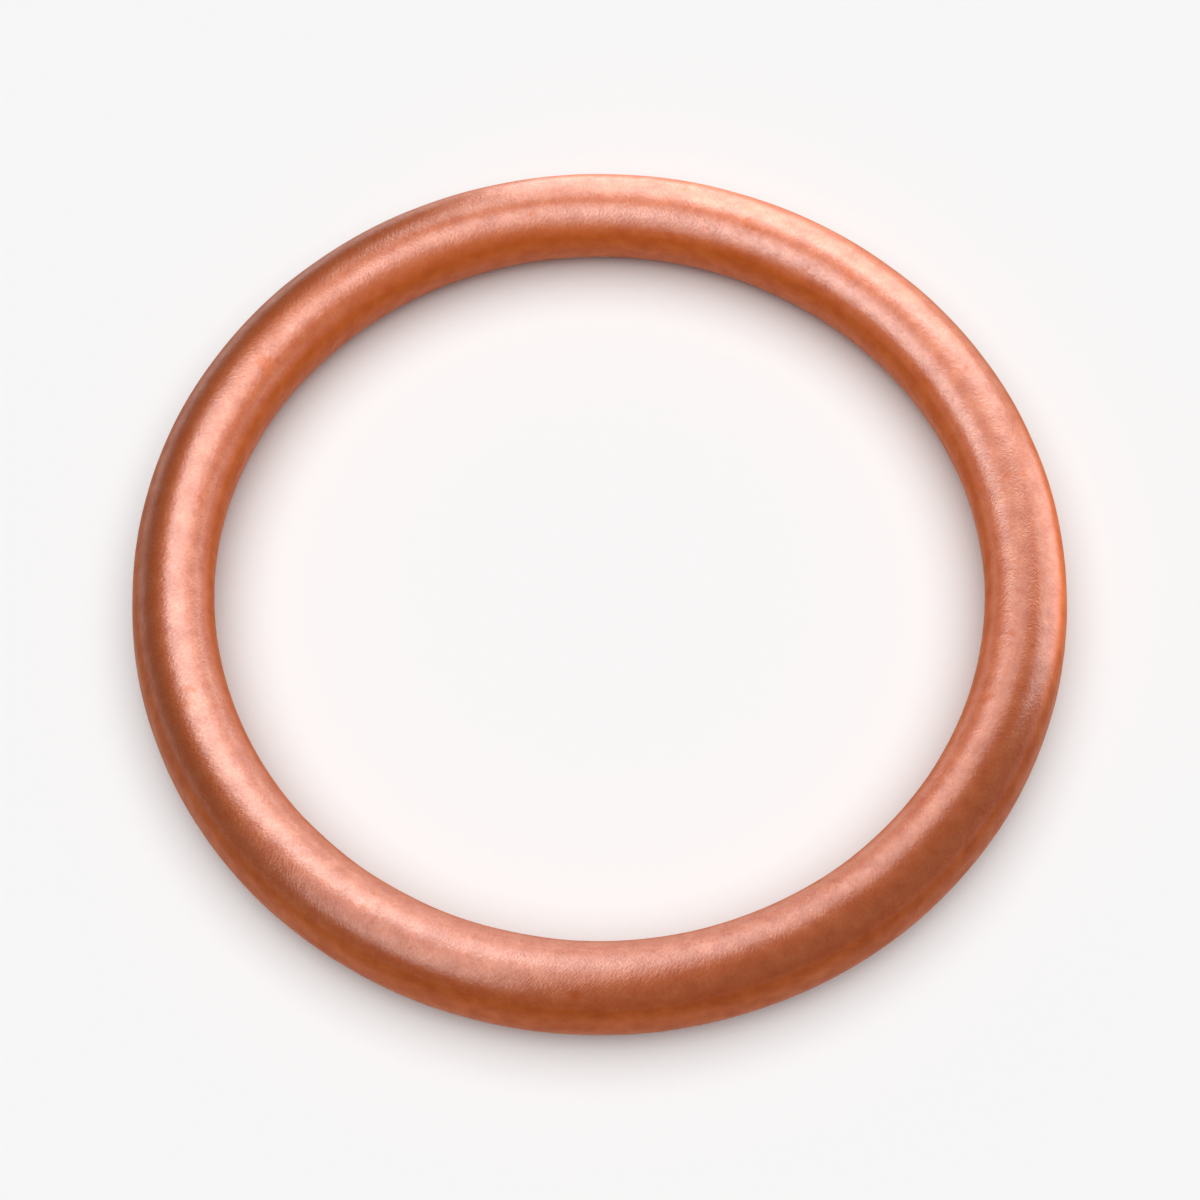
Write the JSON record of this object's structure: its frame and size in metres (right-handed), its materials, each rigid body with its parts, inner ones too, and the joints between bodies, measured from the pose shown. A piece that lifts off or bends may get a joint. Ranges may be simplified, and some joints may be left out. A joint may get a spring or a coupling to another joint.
{
  "type": "exhaust headpipe gasket",
  "caption": "Plain copper ring with a round-ended, slightly tall section, squeezed between an exhaust port and the flange of a headpipe to seal the joint.",
  "frame": {"origin": "on the ring's axis, level with its lower face", "axes": "+Z is the ring's axis, from the lower face to the upper face; the ring lies flat in XY, and +Y points away from the picture's camera"},
  "size_m": [0.0464, 0.0464, 0.0048],
  "materials": {
    "copper": "satin copper, softly tarnished"
  },
  "bodies": {
    "root": {"gasket_ring": "copper"}
  },
  "joints": []
}
